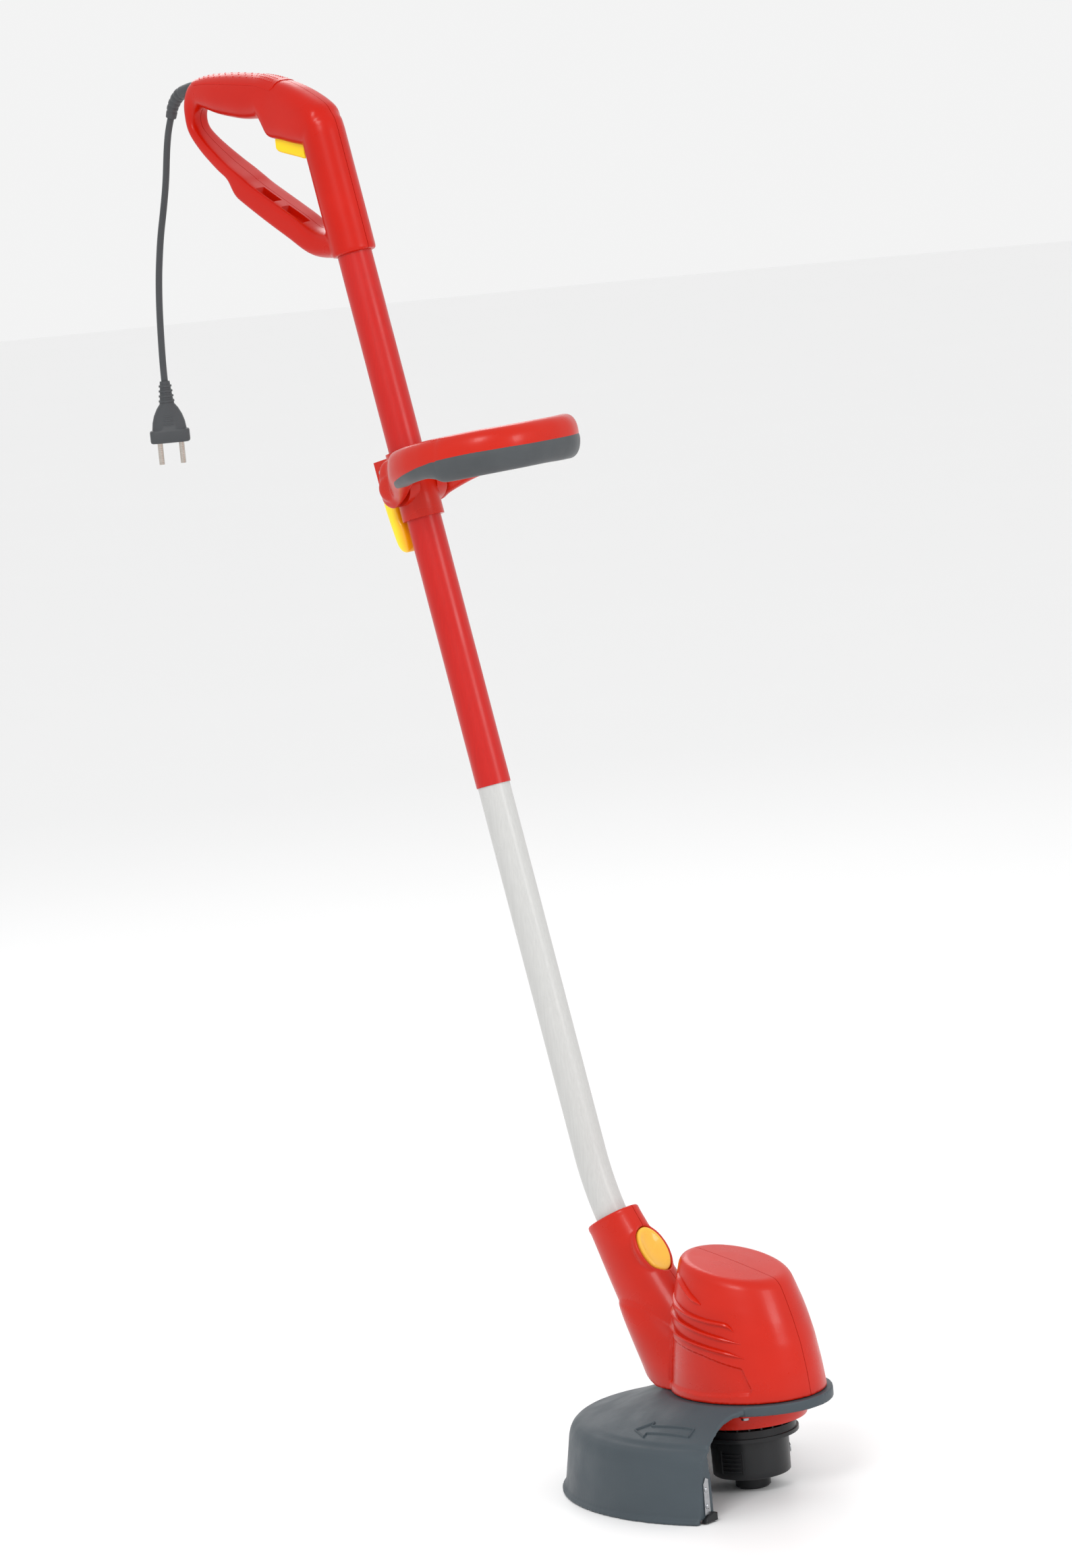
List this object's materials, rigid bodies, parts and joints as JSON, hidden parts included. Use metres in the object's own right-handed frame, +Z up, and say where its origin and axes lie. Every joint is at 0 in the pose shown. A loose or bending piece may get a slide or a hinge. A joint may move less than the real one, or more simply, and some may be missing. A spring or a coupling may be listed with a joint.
{
  "type": "electric string trimmer",
  "caption": "Corded electric string trimmer: domed motor head with guard and tap-feed line spool, bent tubular shaft, tilting front loop, closed rear handle with trigger, and mains cord.",
  "frame": {"origin": "centre of the tap button's foot, on the floor under the spool's axis", "axes": "+Z up along the spool's axis, +X forward away from the user's handle, +Y to the user's left"},
  "size_m": [0.6994, 0.2496, 1.2048],
  "materials": {
    "red_plastic": "satin moulded",
    "red_handle": "satin moulded",
    "red_paint": "semi gloss",
    "silver_tube": "satin",
    "guard_plastic": "fine texture",
    "black_plastic": "satin",
    "yellow_plastic": "gloss",
    "amber_plastic": "gloss",
    "lever_plastic": "gloss",
    "soft_grip": "matt",
    "cord_rubber": "matt",
    "steel": "brushed",
    "screw_steel": "zinc plated",
    "spring_steel": "drawn wire",
    "lamination": "laminated",
    "copper": "varnished winding",
    "brass": "turned",
    "carbon": "matt carbon",
    "line_nylon": "extruded",
    "zinc_bracket": "cast",
    "switch_plastic": "moulded",
    "film_capacitor": "moulded"
  },
  "bodies": {
    "head": {"motor_housing_left": "red_plastic", "motor_housing_right": "red_plastic", "housing_screws": "screw_steel", "guard": "guard_plastic", "line_cutter_blade": "steel", "blade_screws": "screw_steel", "bottom_cover": "red_plastic", "guard_screws": "screw_steel", "stator_core": "lamination", "field_coils": "copper", "lower_motor_bracket": "zinc_bracket", "upper_motor_bracket": "zinc_bracket", "lower_bearing": "steel", "upper_bearing": "steel", "brush_holders": "brass", "carbon_brushes": "carbon", "motor_lead": "cord_rubber", "release_spring": "spring_steel"},
    "release_button": {"head_release_button": "amber_plastic"},
    "rotor": {"motor_shaft": "steel", "armature": "lamination", "commutator": "brass", "cooling_fan": "black_plastic", "spool_housing": "black_plastic", "spool_cap": "black_plastic", "line_eyelet": "steel"},
    "tap": {"tap_button": "black_plastic", "tap_spring": "spring_steel"},
    "spool": {"line_spool": "black_plastic", "wound_line": "line_nylon"},
    "shaft": {"lower_tube": "silver_tube", "upper_tube": "red_paint", "shaft_cable": "cord_rubber", "handle_shell_left": "red_handle", "handle_shell_right": "red_handle", "grip_cover": "red_handle", "handle_screws": "screw_steel", "trigger_pin": "steel", "trigger_spring": "spring_steel", "switch": "switch_plastic", "capacitor": "film_capacitor", "cord_clamp": "black_plastic", "cord_boot": "cord_rubber", "power_cord": "cord_rubber", "plug_body": "cord_rubber", "plug_pins": "brass"},
    "trigger_lever": {"trigger": "yellow_plastic"},
    "front_handle": {"clamp_collar": "red_plastic", "lever_pin": "steel", "hub_screws": "screw_steel"},
    "loop": {"front_loop": "red_plastic", "loop_grip_insert": "soft_grip"},
    "cam_lever": {"clamp_lever": "lever_plastic"}
  },
  "joints": [
    {"name": "shaft_turn", "type": "hinge", "parent": "head", "child": "shaft", "pos_m": [-0.1513, 0, 0.246], "axis": [-0.4493, 0, 0.8934], "range_deg": [0, 180]},
    {"name": "release_press", "type": "slide", "parent": "head", "child": "release_button", "axis": [-0.829, 0, -0.5592], "range_m": [0, 0.0028], "stiffness_N_per_m": 800, "springref_m": -0.002, "deforming": ["release_spring"]},
    {"name": "spool_spin", "type": "hinge", "parent": "head", "child": "rotor", "pos_m": [0, 0, 0], "axis": [0, 0, 1], "continuous": true},
    {"name": "tap_press", "type": "slide", "parent": "rotor", "child": "tap", "axis": [0, 0, 1], "range_m": [0, 0.005], "stiffness_N_per_m": 900, "springref_m": -0.006, "deforming": ["tap_spring"]},
    {"name": "line_feed", "type": "hinge", "parent": "tap", "child": "spool", "pos_m": [0, 0, 0], "axis": [0, 0, 1], "continuous": true},
    {"name": "trigger_pull", "type": "hinge", "parent": "shaft", "child": "trigger_lever", "pos_m": [-0.378, 0, 1.15], "axis": [0, 1, 0], "range_deg": [0, 6], "stiffness_Nm_per_rad": 0.6, "springref_deg": -8.59, "deforming": ["trigger_spring"]},
    {"name": "front_handle_slide", "type": "slide", "parent": "shaft", "child": "front_handle", "axis": [-0.2306, 0, 0.9731], "range_m": [-0.19, 0.1]},
    {"name": "loop_tilt", "type": "hinge", "parent": "front_handle", "child": "loop", "pos_m": [-0.29367, 0, 0.84686], "axis": [0, 1, 0], "range_deg": [-30, 30]},
    {"name": "cam_lever_open", "type": "hinge", "parent": "front_handle", "child": "cam_lever", "pos_m": [-0.32495, 0, 0.85744], "axis": [0, 1, 0], "range_deg": [0, 120]}
  ]
}
